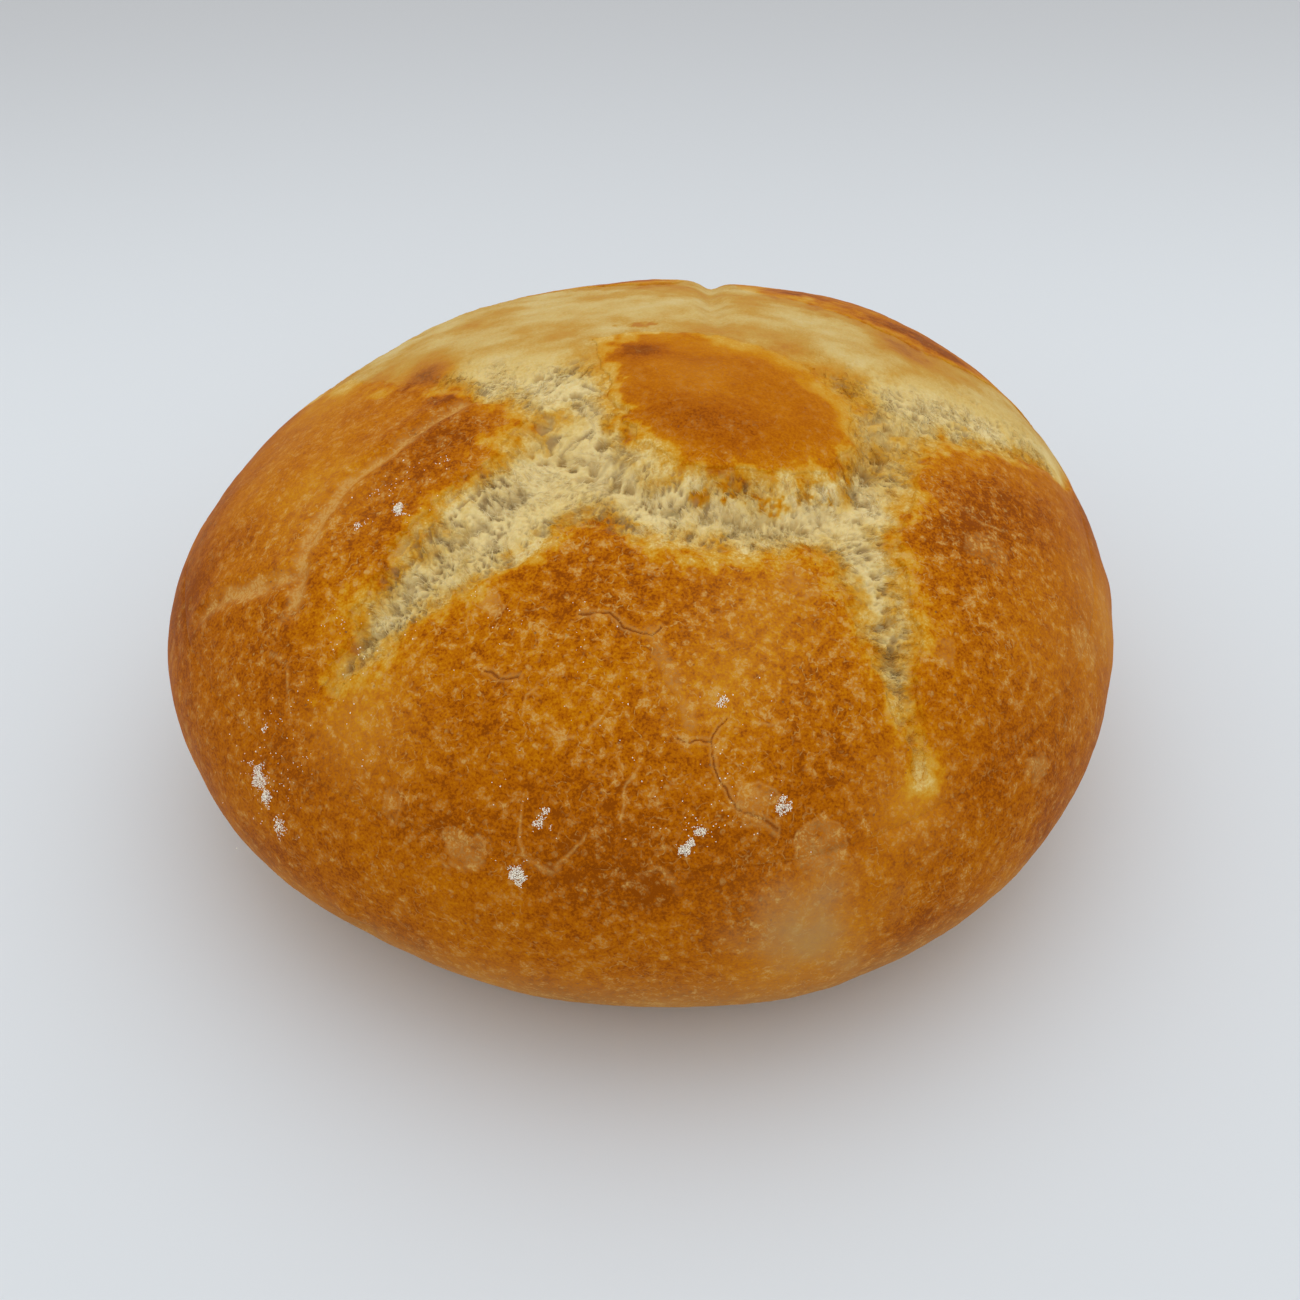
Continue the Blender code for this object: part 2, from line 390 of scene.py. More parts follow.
def breadMaterial(name, speckled, first=()):           # crust and crumb share it, so they meet without a line
    material, shader, coords = startMaterial(name)
    bake, pit, pale = (stored(coords, key) for key in ("bake", "pit", "pale"))
    rough = stored(coords, "speckle")        # how strongly the crust is speckled here
    wavy = coords.warp(1.9 * mm, 1.0 * mm)
    blotch = wavy.grain(look["blotch"], 3.0, 0.6)
    cloud = coords.grain(look["cloud"], 2.0, 0.5, 0.31)
    fine = coords.grain(look["fine"], 2.0, 0.6, 0.17)
    patch = coords.grain(look["patch"], 2.0, 0.5, 0.71)
    vein = (wavy.grain(look["vein"], 2.0, 0.5, 0.53) - 0.5).maths("ABSOLUTE").ramp(0.0, 0.035, 1.0, 0.0)
    vein = vein * patch.ramp(0.44, 0.60)
    rice = coords.warp(0.8 * mm, 0.5 * mm).cells(look["rice"]).ramp(0.16, 0.27, 1.0, 0.0)
    rice = rice * patch.ramp(0.60, 0.44)
    # pinholes: a small dip in the bump, and painted darker and greyer as painted shade in the holes
    pin = coords.cells(look["pinhole"]).ramp(0.035, 0.06, 1.0, 0.0)
    dots = blotch.ramp(0.53, 0.66)
    tint = bake + rough * pin * 0.4 + (cloud - 0.5) * 0.20 + (fine - 0.5) * (rough * 0.42 + 0.24)
    tint = (tint + rough * (dots * 0.06 + (blotch - 0.5) * 0.34)).maths("MINIMUM", 0.93)
    stops = [(place, new) for (place, old), new in zip(look["bake"], first)] + look["bake"][len(first):]
    colour = tint.node("ShaderNodeValToRGB", {"stops": stops}, {0: tint})
    light = vein * 0.60 + rice * 0.50 + blotch.ramp(0.47, 0.33) * 0.60
    light = rough * light * fine.ramp(0.40, 0.62, 0.15, 1.35)
    tanShare = (pale * fine.ramp(0.35, 0.65, 0.45, 1.35) + light).maths("MAXIMUM", 0.0)
    colour = colour.mixTo((*look["tan"], 1), tanShare.maths("MINIMUM", 0.85))
    # this grey-brown is painted shade in pores and pinholes, and elsewhere on the crust its duller grey tone
    colour = colour.mixTo((*look["pit"], 1), (pit + rough * pin * 0.3).maths("MINIMUM", 1.0))
    connect(shader, "Base Color", colour)
    connect(shader, "Roughness", pit * 0.2 - dots * rough * 0.08 + 0.55)
    height = blotch * (0.25 + speckled * 0.3) + fine * 0.4 + (vein + rice) * rough * 0.35 - pin * rough * 0.8
    bumped(shader, height, 0.6, 0.12 * mm)
    shader.inputs["Subsurface Weight"].default_value = 0.0 if speckled else 0.06
    shader.inputs["Subsurface Radius"].default_value = (1.0, 0.55, 0.25)
    shader.inputs["Subsurface Scale"].default_value = 0.6 * mm
    shader.inputs["Specular IOR Level"].default_value = 0.03
    return material


# mesh helpers

def gridCube(cuts):              # a gridded cube's points as directions, with its faces
    shape = bmesh.new()
    bmesh.ops.create_cube(shape, size=2.0)
    bmesh.ops.subdivide_edges(shape, edges=shape.edges[:], cuts=cuts - 1, use_grid_fill=True)
    bmesh.ops.recalc_face_normals(shape, faces=shape.faces[:])
    mesh = bpy.data.meshes.new("roll_crust")
    shape.to_mesh(mesh)
    shape.free()
    place = np.empty(len(mesh.vertices) * 3)
    mesh.vertices.foreach_get("co", place)
    place = np.tan(place.reshape(-1, 3) * math.pi / 4)
    return mesh, place / np.linalg.norm(place, axis=1)[:, None]


def store(mesh, name, values):
    flat = np.ascontiguousarray(values, dtype=np.float32)
    kind, key = ("FLOAT_VECTOR", "vector") if flat.ndim == 2 else ("FLOAT", "value")
    mesh.attributes.new(name, kind, "POINT").data.foreach_set(key, flat.ravel())


def newPiece(name, mesh, material, replaces=None):
    mesh.materials.clear()
    mesh.materials.append(material)
    piece = bpy.data.objects.new(name, mesh)
    bpy.context.scene.collection.objects.link(piece)
    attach(piece, "root")
    if replaces:
        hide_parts(replaces)
    return piece


design = {"low": boxLow, "high": boxHigh}      # the design's own box, known once the crust is shaped


def toFrame(p):                  # from the design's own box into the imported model's
    return boxLow + (p - design["low"]) * (side / (design["high"] - design["low"]))


def shares(p):
    return np.hypot(p[:, 0], p[:, 1]) / outline(np.arctan2(p[:, 1], p[:, 0]))


def sheet(low, high, spacing):   # a grid over part of the plan, with the star's field on the dome above it
    xs = np.arange(low[0] * mm, high[0] * mm + spacing / 2, spacing)
    ys = np.arange(low[1] * mm, high[1] * mm + spacing / 2, spacing)
    gridX, gridY = np.meshgrid(xs, ys, indexing="ij")
    p, q = domePoints(gridX.ravel(), gridY.ravel())
    return {"shape": gridX.shape, "p": p, "q": q, "field": starField(p)}


def keepOnly(grid, wanted):      # drops the points that no wanted cell uses
    w = wanted.reshape(grid["shape"])
    number = np.arange(w.size).reshape(w.shape)
    i, j = np.nonzero(w[:-1, :-1] & w[1:, :-1] & w[:-1, 1:] & w[1:, 1:])
    faces = np.column_stack([number[i, j], number[i + 1, j], number[i + 1, j + 1], number[i, j + 1]])
    kept = np.unique(faces)
    renumber = np.full(w.size, -1)
    renumber[kept] = np.arange(len(kept))
    field = {key: grid["field"][key][kept] for key in ("gap", "inside", "depth")}
    field["coords"] = [tuple(v[kept] for v in c) for c in grid["field"]["coords"]]
    return renumber[faces], grid["p"][kept], grid["q"][kept], field


def pointNormals(place, faces):
    a, b, c, d = (place[faces[:, k]] for k in range(4))
    n = np.cross(c - a, d - b)
    total = np.zeros_like(place)
    for k in range(4):
        np.add.at(total, faces[:, k], n)
    return total / np.maximum(np.linalg.norm(total, axis=1), 1e-12)[:, None]


def closedPieces(names, cuts, top, bottom, faces, x, attributes, material):
    normals = pointNormals(top, faces)       # worked out before cutting, so that the cuts don't show
    middle = x[faces].mean(axis=1)
    pieces = []
    for name, low, high in zip(names, cuts, cuts[1:]):
        part = faces[(middle >= low * mm) & (middle < high * mm)]
        kept = np.unique(part)
        renumber = np.full(len(top), -1)
        renumber[kept] = np.arange(len(kept))
        part, count = renumber[part], len(kept)
        sides = np.concatenate([part[:, [k, (k + 1) % 4]] for k in range(4)])
        key = np.sort(sides, axis=1)
        number = key[:, 0] * (count + 1) + key[:, 1]
        _, first, times = np.unique(number, return_index=True, return_counts=True)
        rim = sides[first[times == 1]]
        walls = np.column_stack([rim[:, 1], rim[:, 0], rim[:, 0] + count, rim[:, 1] + count])
        allFaces = np.concatenate([part, part[:, ::-1] + count, walls])
        mesh = bpy.data.meshes.new(name)
        mesh.from_pydata(np.concatenate([top[kept], bottom[kept]]), [], allFaces)
        mesh.shade_smooth()
        mesh.normals_split_custom_set_from_vertices(np.concatenate([normals[kept], -normals[kept]]))
        for key, values in attributes.items():
            values = values[kept]
            store(mesh, key, np.concatenate([values, np.zeros_like(values)]))
        pieces.append(newPiece(name, mesh, material))
        print(name + ":", len(allFaces), "faces")
    return pieces


# browning, folds, scars and cracks of the crust; places in mm, in plan

crustLook = {
    "squares": 126,              # along each edge of the cube that becomes the crust
    "skinSpacing": 0.24 * mm,    # between points of the finer skin over the upper side
    "frontSpacing": 0.12 * mm,   # and of the finest, where the cracks are
    "frontArea": (-20, 24, -50.5, -18),
    "browner": ((3, -25, 9, 0.08), (-9, -23, 7, 0.08), (-22, -2, 6, 0.14), (-28, -12, 6, 0.08),
                (31, -14, 7, 0.12), (38, -4, 9, 0.06), (-3, -47, 9, 0.06), (1, -38, 5, 0.06),
                (3, -3, 4, 0.08), (12, -7, 4, 0.07), (-1, 9, 5, 0.08), (9, -8, 6, 0.03),
                (22, 30, 6, 0.10), (-50, -8, 9, 0.10), (-0.6, -49.8, 2.2, 0.14)),
    # brown in the tears too
    "toasted": ((-25, 13.5, 3.8, 0.60), (30, 19.5, 4.0, 0.32), (34, 25, 4.5, 0.28), (24, 27, 3.5, 0.15),
                (-22.5, 6.5, 2.4, 0.3), (-1, 10, 3, 0.1)),
    # paler patches of the crust; the one at (51, -8) on the right rim is a painted sheen at the grazing edge,
    # the others the crust's own paler tone
    "palerAndRimSheen": ((15, -52, 7, 0.32), (51, -8, 7, 0.25), (-36, -6, 7, 0.16), (-31, -33, 6, 0.20),
              (26, -42, 5, 0.20), (45, -20, 8, 0.08), (12, -27, 6, 0.10), (9, -33, 6, 0.12),
              (-40, 14, 9, 0.10), (6, 4, 4, 0.10), (4, -37, 4, 0.10)),
    "scars": ((-19.8, -44.7, 2.0, 0.55), (10.2, -44.6, 1.9, 0.45), (16.5, -46.6, 2.6, 0.42),
              (15.3, -24.5, 1.7, 0.4), (40.2, -32.4, 1.7, 0.5), (47.4, -16.6, 2.2, 0.5),
              (-33, -28, 1.8, 0.3), (-16.9, -26, 0.9, 0.5), (36, -14, 2.0, 0.3), (-27, -40, 1.3, 0.3),
              (30, -28, 1.3, 0.3)),
    "folds": (((-19, 4.5), (-24, 1.4), (-28.2, -2.2), (-32.7, -4.7), (-35.6, -8.5), (-37.4, -13.5),
               (-38.3, -19)), ((-37.8, -15.4), (-42, -14.2), (-46, -12.3), (-49, -11.2))),
    "frontRidge": ((-0.2, -31.2), (1.5, -34.3), (2.8, -36.9), (3.6, -38.8)),
    "cracks": (((-7.4, -28.3), (-4.4, -28.6), (-2.9, -29.9), (-0.2, -31.2), (0.6, -30.2)),
               ((2.3, -40.2), (5.5, -40.4), (7.2, -38.5)),
               ((5.5, -40.4), (6, -43), (8, -45), (11.9, -46.1)),
               ((-31.1, -25.7), (-32, -26), (-33, -26.6)),
               ((-17.4, -32.2), (-15.6, -33.3), (-13.5, -33.3))),
    "lips": (((-13.6, -43.5), (-13.9, -45.4), (-13.4, -46.6), (-10.8, -47.7), (-8.9, -47.0),
              (-7.3, -46.3)), ((9.8, -38.5), (11.3, -38.8), (13.1, -38.4)),
             ((-3.6, -45.6), (-3.2, -43.6), (-1.9, -42.2)),
             ((-1.7, -48.9), (-0.3, -48.5), (1.0, -49.1), (1.7, -49.7)),
             ((-6.5, -38.8), (-5.5, -38.1), (-4.2, -36.8)),
             ((-13.4, -37), (-13.1, -35.5), (-11.9, -34.8)), ((-11, -38), (-9.5, -39.4), (-8.2, -39.2)),
             ((33, -9), (36, -10.5), (38.5, -10)), ((38, -22), (40, -24.5), (39.5, -27)),
             ((-41, -22), (-39, -24.5), (-38.8, -27))),
    "dullPatch": (16, -52, 9.5),                  # place and size
    "tufts": ((12.7, -14.4, 1.0), (5.2, -13.8, 0.9), (-0.6, 16.0, 1.2), (9, -12.6, 1.2), (17, -12.5, 1.2)),
    "bakes": {"crumb": 0.05, "fringe": 0.38, "rim": 0.34, "back": 0.18, "crust": 0.76, "most": 0.93},
    "crackWidth": 0.11, "crackDepth": 0.12, "lipWidth": 0.13, "lipHeight": 0.07, "foldDepth": 0.40,
    "skinThickness": 1.5,
    "skinEdge": 0.955,                            # share of the outline's radius at which the skins end
    "dents": ((-33.2, -40.2, 17.0, 1.6, 0.7), (-32.4, -39.2, 12.6, 1.9, -0.9)),   # place, size, height, mm
}


def gapTo(p, cx, cy):            # distance in mm from the dome's point above a plan place
    middle = domePoints(np.array([cx * mm]), np.array([cy * mm]))[0]
    return np.linalg.norm(p - middle, axis=1) / mm


def spots(p, places):
    return sum(amount * np.exp(-(gapTo(p, cx, cy) / size) ** 2) for cx, cy, size, amount in places)


def bakeAndShadeOf(p, edge):             # how brown each place is, 0 for crumb to 1 for the darkest crust; lower on the dome it also holds painted shade
    x, y = p[:, 0], p[:, 1]
    back = backOf(p)
    soft = step(12 * mm, 22 * mm, x + y) * step(8 * mm, 2 * mm, insideOf(p))
    wide = 1 + 1.2 * back + 1.2 * soft       # the change of colour takes longer over the back
    ragged = (1.5 + 1.6 * back) * fractal(p, 4 * mm, 3, 31) + 1.3 * fractal(p, 1.1 * mm, 3, 37)
    out = (edge / mm + ragged) / wide
    onIsland = step(0, -1 * mm, insideOf(p))
    out = np.where(out > 0, out * (1 + 1.3 * onIsland * (1 - soft)), out)
    bakes = crustLook["bakes"]
    torn = bakes["crumb"] + bakes["fringe"] * step(-4.2, 0.6, out) + bakes["rim"] * step(-0.6, 2.4, out)
    torn = torn + bakes["back"] * back * (1 - step(-5, 0, out))
    crust = bakes["crust"] - 0.03 * step(5, 16, edge / mm) - 0.06 * step(7, 2, out)
    bake = np.where(out < 2.4, np.minimum(torn, crust), crust)
    bake = bake + spots(p, crustLook["toasted"]) - 0.03 * onIsland
    bake = bake + 0.14 * back * fractal(p * (1, 2, 1), 6 * mm, 4, 59)
    bake = bake + step(-1, 2, out) * (spots(p, crustLook["browner"]) - 0.6 * spots(p, crustLook["palerAndRimSheen"]))
    bake = bake + step(0, 3, out) * 0.05 * fractal(p, 9 * mm, 2, 43)
    # toasted tufts below the middle piece and a few in the tears
    below = step(6 * mm, 1 * mm, insideOf(p)) * step(2 * mm, -5 * mm, y)
    tuft = np.clip(fractal(p, 2.4 * mm, 2, 47) - 0.25, 0, 1) * below
    bake = bake + 0.5 * tuft * step(0, -1 * mm, edge)
    for cx, cy, size in crustLook["tufts"]:
        gap = np.hypot((x / mm - cx) * 0.5, y / mm - cy) + 1.1 * fractal(p, 0.9 * mm, 3, 53)
        bake = bake + 0.42 * step(size, 0, gap)
    # the crust browner below 46 mm up the dome: painted shade for the light falling off towards the bottom
    bake = bake + 0.10 * step(46 * mm, 30 * mm, p[:, 2]) * step(0, 3 * mm, edge)
    return np.minimum(bake - 0.02 * step(26 * mm, 8 * mm, p[:, 2]), bakes["most"])


def bent(p, amount):             # plan places pushed about, so that a line wanders
    x = p[:, 0] + amount * mm * (fractal(p, 1.6 * mm, 2, 101) + 0.3 * noise(p, 0.5 * mm, 105))
    y = p[:, 1] + amount * mm * (fractal(p, 1.6 * mm, 2, 107) + 0.3 * noise(p, 0.5 * mm, 109))
    return x, y


def crackField(p):               # shares of crack and of lifted lip
    crack, lip = np.zeros(len(p)), np.zeros(len(p))
    x, y = bent(p, 0.2)
    for line in crustLook["cracks"]:
        gap = lineGap(x, y, line) / mm
        crack = np.maximum(crack, step(crustLook["crackWidth"], 0.02, gap))
        lip = np.maximum(lip, 0.45 * np.exp(-((gap - 0.22) / 0.15) ** 2))
    for line in crustLook["lips"]:
        gap = lineGap(x, y, line) / mm
        lip = np.maximum(lip, 0.66 * np.exp(-(gap / crustLook["lipWidth"]) ** 2))
    return crack, lip


def paleOf(p, edge, cracks):
    x, y = p[:, 0], p[:, 1]
    crustOnly = step(0, 2.5 * mm, edge)
    pale = 0.7 * np.clip(spots(p, crustLook["palerAndRimSheen"]), 0, 1)
    wiggle = 0.5 * mm * fractal(p, 1.6 * mm, 2, 51)
    for cx, cy, size, amount in crustLook["scars"]:
        gap = gapTo(p, cx, cy) + 1.7 * wiggle / mm
        inner = step(size, size - 0.35, gap) * amount * (0.60 + 0.5 * fractal(p, 0.9 * mm, 2, 57))
        rim = 0.95 * amount * np.exp(-((gap - size) / 0.16) ** 2)
        pale = np.maximum(pale, np.maximum(inner, rim))
    for fold in crustLook["folds"]:
        gap = lineGap(x, y, fold) + wiggle
        pale = np.maximum(pale, 0.75 * np.exp(-(gap / (0.75 * mm)) ** 2))
    ridge = lineGap(x, y, crustLook["frontRidge"]) + wiggle
    pale = np.maximum(pale, 0.34 * np.exp(-(ridge / (0.7 * mm)) ** 2))
    pale = np.maximum(pale, 0.75 * cracks[1])
    low = step(20 * mm, 4 * mm, p[:, 2])
    return crustOnly * np.clip(pale + 0.60 * low, 0, 1)


def crustRelief(p, cracks):      # lumps, folds, scars and cracks on the crust
    x, y = p[:, 0], p[:, 1]
    rise = 0.22 * fractal(p, 15 * mm, 2, 61) + 0.08 * fractal(p, 4.5 * mm, 2, 67)
    rise = rise + 0.035 * fractal(p, 1.4 * mm, 3, 71)
    for fold in crustLook["folds"]:
        gap = lineGap(x, y, fold) / mm
        rise = rise - crustLook["foldDepth"] * np.exp(-gap ** 2) + 0.25 * np.exp(-((gap - 2.0) / 1.4) ** 2)
    rise = rise + 0.25 * np.exp(-(lineGap(x, y, crustLook["frontRidge"]) / mm / 0.9) ** 2)
    for cx, cy, size, amount in crustLook["scars"]:
        gap = gapTo(p, cx, cy) + 0.85 * fractal(p, 1.6 * mm, 2, 51)
        flake = step(size, size - 0.3, gap) + np.exp(-((gap - size + 0.1) / 0.2) ** 2)
        rise = rise + 0.10 * amount * flake
    for cx, cy, cz, size, height in crustLook["dents"]:
        gap = np.linalg.norm(p - np.array([cx, cy, cz]) * mm, axis=1) / mm
        rise = rise + height * np.exp(-(gap / size) ** 2)
    return (rise - crustLook["crackDepth"] * cracks[0] + crustLook["lipHeight"] * cracks[1]) * mm


crumbLook = {
    "spacing": 0.18 * mm,        # between points of the crumb's surface
    "cover": 1.6,                # how far it runs in under the crust, mm
    "floor": 4.0,                # thickness of each crumb slab, mm
    "cuts": (-99, -9.0, 10.5, 99),           # the crumb is cut into pieces at these x, mm
    "reach": 0.90,               # share of the outline's radius at which it ends
    # size of the pores along and across the tear, share of them open, depth in mm
    "layers": (
        (1.1, 2.0, 0.16, 0.38), (0.60, 1.1, 0.36, 0.32), (0.38, 0.7, 0.45, 0.14)),
    "thread": (0.38, 2.0),       # width and length of the threads across a tear
    "holes": ((2.4, -15.3, 1.5, 0.9), (-3.9, -11.8, 1.2, 0.8), (-7.1, -10.2, 1.2, 0.7),
              (-4.9, -6.4, 1.2, 0.8), (-7.5, 1.6, 1.1, 0.8), (-12.2, 6.2, 0.9, 0.6),
              (6.0, -15.8, 1.1, 0.6), (10.5, -17, 0.9, 0.6), (16.5, -16.8, 1.0, 0.6),
              (-31.2, -25.6, 0.9, 0.8), (25.3, -29.6, 1.0, 0.5), (23.5, -11.0, 1.2, 0.6),
              (24.3, -25.5, 0.9, 0.5)),
}


def covered(q):                  # where the finer skin lies over the crust
    return step(0.958, 0.938, q)


def inFront(p):                  # where the finest skin lies over that
    left, right, near, far = (v * mm for v in crustLook["frontArea"])
    x, y = p[:, 0], p[:, 1]
    return step(0, 0.8 * mm, np.minimum(np.minimum(x - left, right - x), np.minimum(y - near, far - y)))


def buildCrust():                # the whole roll's outside, sunk a little where finer pieces lie over it
    mesh, direction = gridCube(crustLook["squares"])
    base = bodyPoints(direction)
    field = starField(base)
    crustLevel, crumbLevel, edge = levels(base, field)
    upper = base[:, 2] > body["girthHeight"] - 2 * mm
    edge = np.where(upper, edge, 20 * mm)
    plainLevel = np.where(edge > 0, crustLevel, crumbLevel) * upper
    smooth = base + outward(base) * plainLevel[:, None]
    design["low"], design["high"] = smooth.min(0), smooth.max(0)
    q = np.where(upper, shares(base), 1.0)
    torn = step(0.3 * mm, -0.6 * mm, edge)
    hidden = 2.2 * mm * torn * step(crumbLook["reach"], crumbLook["reach"] - 0.04, q)
    hidden = hidden + 0.45 * mm * covered(q) * (1 - torn)
    cracks = crackField(base)
    rise = crustLevel * upper * (1 - torn) + crumbLevel * upper * torn - hidden
    rise = rise + crustRelief(base, cracks) * step(0.4 * mm, 3 * mm, base[:, 2])
    place = toFrame(base + outward(base) * rise[:, None])
    place[:, 2] = np.maximum(place[:, 2], 0.0)
    mesh.vertices.foreach_set("co", place.astype(np.float32).ravel())
    mesh.update()
    mesh.shade_smooth()
    for name, values in crustColours(base, edge, cracks).items():
        store(mesh, name, values)
    newPiece("roll_crust", mesh, crustMaterial, "bread_roll")
    print("roll_crust:", len(mesh.polygons), "faces")


def tornBack(p, edge):           # the smooth torn part of the back is a little greyer
    return 0.30 * backOf(p) * step(0.5 * mm, -0.5 * mm, edge)


def crustColours(p, edge, cracks):       # what the crust material reads at each point
    cx, cy, size = crustLook["dullPatch"]
    dull = step(1.0, 0.2, gapTo(p, cx, cy) / size + 0.35 * fractal(p, 5 * mm, 3, 73))
    low = step(22 * mm, 6 * mm, p[:, 2])
    # 0.30 * cracks[0] darkens the cracks: painted shade in the fissures, over their real shallow dip
    return {"bake": bakeAndShadeOf(p, edge) + 0.30 * cracks[0], "pale": paleOf(p, edge, cracks),
            # on the crust this grey-brown marks the dull patch and the torn back, and grows towards the
            # bottom
            "pit": 0.48 * dull + 0.16 * low + tornBack(p, edge), "speckle": speckleOf(p, edge)}


def speckleOf(p, edge):          # how strongly the crust's fine mottling shows
    front = step(10 * mm, -25 * mm, p[:, 1])
    calm = 1 - 0.6 * step(1 * mm, -2 * mm, insideOf(p))
    high = 0.60 + 0.55 * step(32 * mm, 46 * mm, p[:, 2])
    crust = step(-3.5 * mm, 0.5 * mm, edge)
    return crust * (0.50 + 0.50 * front) * calm * (1 - 0.5 * backOf(p)) * high


def skinSurface(p, field):
    crustLevel, crumbLevel, edge = levels(p, field)
    cracks = crackField(p)
    return crustLevel + crustRelief(p, cracks), edge, cracks


def buildSkin(names, cuts, spacing, front):      # thin closed sheets of crust over the upper side
    if front:
        left, right, near, far = crustLook["frontArea"]
        grid = sheet((left, near), (right, far), spacing)
        wanted = grid["q"] < crustLook["skinEdge"]
    else:
        grid = sheet((-56, -54), (56, 54), spacing)
        wanted = (grid["q"] < crustLook["skinEdge"]) & (inFront(grid["p"]) < 0.98)
    wanted &= (grid["field"]["gap"] > -2.2 * mm) | (grid["field"]["inside"] < 1.8 * mm)
    faces, p, q, field = keepOnly(grid, wanted)
    rise, edge, cracks = skinSurface(p, field)
    crumbLevel = levels(p, field)[1]
    away = step(0.05 * mm, -0.55 * mm, edge)
    rise = rise * (1 - away) + np.minimum(rise, crumbLevel - 1.3 * mm) * away
    sink = 0.6 * mm * step(0.944, 0.957, q)
    sink = sink + (0.30 * mm * (1 - inFront(p)) if front else 0.22 * mm * inFront(p))
    n = outward(p)
    rise = rise - sink
    top = toFrame(p + n * rise[:, None])
    bottom = toFrame(p + n * (rise - crustLook["skinThickness"] * mm)[:, None])
    return closedPieces(["crust_skin_" + name for name in names], cuts, top, bottom, faces, p[:, 0],
                        crustColours(p, edge, cracks), crustMaterial)


# pores and walls of the crumb, drawn along and across each tear

def crumbDetail(p, field, edge):
    count = len(p)
    height, pit, total = np.zeros(count), np.zeros(count), np.full(count, 1e-6)
    lean = np.zeros((count, 3))
    bend = np.column_stack([fractal(p, 1.8 * mm, 2, 81), fractal(p, 1.8 * mm, 2, 83)]) * 0.55
    for number, ((own, along, across), tear) in enumerate(zip(field["coords"], star["tears"].values())):
        weight = step(1.5 * mm, -3 * mm, own) ** 2
        use = weight > 0.01
        h, d = np.zeros(use.sum()), np.zeros(use.sum())
        for layer, (wide, long, share, depth) in enumerate(crumbLook["layers"]):
            q = np.column_stack([along[use] / (wide * mm), across[use] / (long * mm)])
            q = q + bend[use] * (0.6 + layer * 0.3)
            near, second = cellGap(q, 90 + number * 7 + layer)
            cell = hashCells(np.column_stack([np.floor(q * 0.5), np.full(len(q), layer)]), 5 + number)[:, 0]
            local = share + 0.35 * noise(p[use], 6 * mm, 97 + layer)
            hole = step(0.46, 0.18, near) * step(local + 0.10, local - 0.10, cell)
            wall = step(0.16, 0.0, second - near)
            h = h - depth * hole + depth * 0.30 * wall
            # how dark the open pore is painted: painted shade in the pore
            d = np.maximum(d, hole ** 1.5 * min(1.0, depth * 3.0))
        # fine threads running across the tear
        wide, long = crumbLook["thread"]
        thread = [along[use] / (wide * mm), across[use] / (long * mm), np.full(use.sum(), number)]
        thread = np.column_stack(thread)
        thread = thread + np.column_stack([bend[use] * 2.2, np.zeros(use.sum())])
        h = h + 0.17 * (1 - np.abs(noise(thread, 1.0, 131)) * 2.2)
        height[use] += weight[use] * h
        pit[use] += weight[use] * d
        total = total + weight
        path = tear["path"]                  # across the tear, for the loose strands
        dx, dy = path[-1][0] - path[0][0], path[-1][1] - path[0][1]
        size = math.hypot(dx, dy)
        lean += weight[:, None] * np.array([-dy / size, dx / size, 0.0])
    height, pit = height / total, pit / total
    x, y = p[:, 0], p[:, 1]
    for cx, cy, size, amount in crumbLook["holes"]:
        gap = np.hypot(x / mm - cx, (y / mm - cy) * 1.5) + 0.5 * fractal(p, 1.0 * mm, 2, 91)
        hole = step(size, size * 0.35, gap)
        height = height - hole * 1.2 * amount
        # the large holes painted darker: painted shade in them
        pit = np.maximum(pit, hole * amount)
    deep = np.exp(-(lineGap(x, y, star["groove"]) / (1.3 * mm)) ** 2)
    for arm in star["arms"]:
        deep = np.maximum(deep, 0.75 * np.exp(-(lineGap(x, y, arm) / (1.2 * mm)) ** 2))
    pocket = deep * step(0.05, 0.55, fractal(p, 1.2 * mm, 2, 139))
    height = height - 0.8 * pocket
    # the pockets along the groove and arms painted darker: painted shade in them
    pit = np.maximum(pit, 0.8 * pocket)
    back = backOf(p)
    calm = 1 - 0.80 * back
    fibre = step(0, -1.6 * mm, edge) * step(0.5, 0.1, back) * step(-0.7, 0.4, fractal(p, 3.2 * mm, 2, 149))
    height = height * calm + 0.10 * fractal(p, 2.6 * mm, 3, 87)
    keep = step(0.5 * mm, -2.4 * mm, edge)
    return height * mm * keep, np.clip(pit * keep * calm, 0, 1), lean, fibre


def buildCrumb(names):           # closed slabs: detailed top, plain underside inside the roll
    grid = sheet((-46, -42), (50, 50), crumbLook["spacing"] * (1))
    cover = crumbLook["cover"] * mm
    wanted = (grid["field"]["gap"] < cover) & (grid["field"]["inside"] > -cover)
    wanted &= grid["q"] < crumbLook["reach"] + 0.03
    faces, p, q, field = keepOnly(grid, wanted)
    crustLevel, crumbLevel, edge = levels(p, field)
    height, pit, lean, fibre = crumbDetail(p, field, edge)
    sink = 1.1 * mm * step(0.1 * mm, 1.3 * mm, edge)
    sink = sink + 1.2 * mm * step(crumbLook["reach"] - 0.01, crumbLook["reach"] + 0.03, q)
    n = outward(p)
    top = toFrame(p + n * (crumbLevel + 0.10 * mm + height - sink)[:, None])
    bottom = toFrame(p - n * crumbLook["floor"] * mm)
    none = np.zeros(len(p))
    colours = {"bake": bakeAndShadeOf(p, edge), "pale": paleOf(p, edge, (none, none)),
               "pit": np.maximum(pit * 0.8, tornBack(p, edge)), "speckle": speckleOf(p, edge),
               "lean": lean, "fibre": fibre * (1 - 0.5 * pit)}
    cuts = crumbLook["cuts"]
    return closedPieces(names, cuts, top, bottom, faces, p[:, 0], colours, crumbMaterial)


